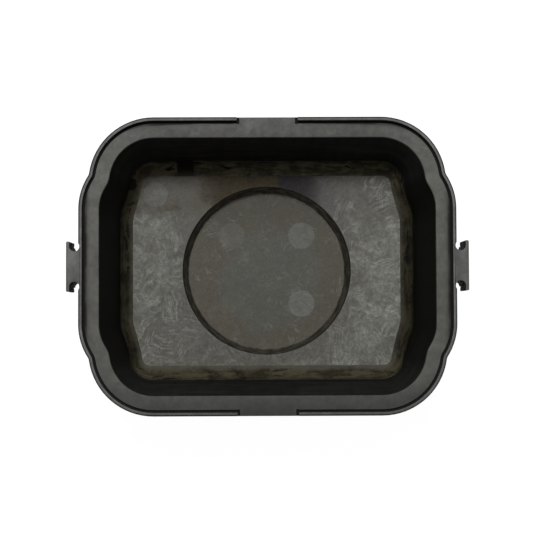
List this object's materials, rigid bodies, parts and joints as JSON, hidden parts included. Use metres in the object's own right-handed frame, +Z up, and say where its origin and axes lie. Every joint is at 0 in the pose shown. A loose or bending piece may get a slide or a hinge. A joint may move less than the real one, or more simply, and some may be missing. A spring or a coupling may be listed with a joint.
{
  "type": "mortar mixing tub",
  "caption": "Deep black plastic tub for mixing mortar, with bulged ends, a round sump in the floor, a wide rim with a raised bead and a keyhole lug on each end.",
  "frame": {"origin": "on the ground under the middle of the tub", "axes": "+X along the length to the right-hand lug, +Y to the back, +Z up"},
  "size_m": [0.6774, 0.504, 0.251],
  "materials": {
    "rim_plastic": "black plastic greyed by cement dust, fine moulded texture",
    "bead_plastic": "black plastic worn smooth along its top edge",
    "outer_plastic": "plain black moulded plastic",
    "wall_plastic": "black plastic, dark and satin",
    "cove_film": "black plastic under a thin brown cement film",
    "floor_haze": "black plastic scoured grey by trowels and cement",
    "sump_haze": "black plastic with a grey-brown cement film",
    "lug_plastic": "black plastic greyed by cement dust"
  },
  "bodies": {
    "root": {"rim_flange": "rim_plastic", "left_rim_bead": "bead_plastic", "right_rim_bead": "bead_plastic", "front_rim_skirt": "outer_plastic", "back_rim_skirt": "outer_plastic", "left_rim_skirt": "outer_plastic", "right_rim_skirt": "outer_plastic", "front_left_skirt_corner": "outer_plastic", "front_right_skirt_corner": "outer_plastic", "back_left_skirt_corner": "outer_plastic", "back_right_skirt_corner": "outer_plastic", "basin_wall": "wall_plastic", "bottom_cove": "cove_film", "floor_plate": "floor_haze", "sump_wall": "wall_plastic", "sump_floor": "sump_haze", "left_lug": "lug_plastic", "right_lug": "lug_plastic", "front_rim_gussets": "outer_plastic", "back_rim_gussets": "outer_plastic", "left_rim_gussets": "outer_plastic", "right_rim_gussets": "outer_plastic", "left_floor_runners": "outer_plastic", "right_floor_runners": "outer_plastic"}
  },
  "joints": []
}
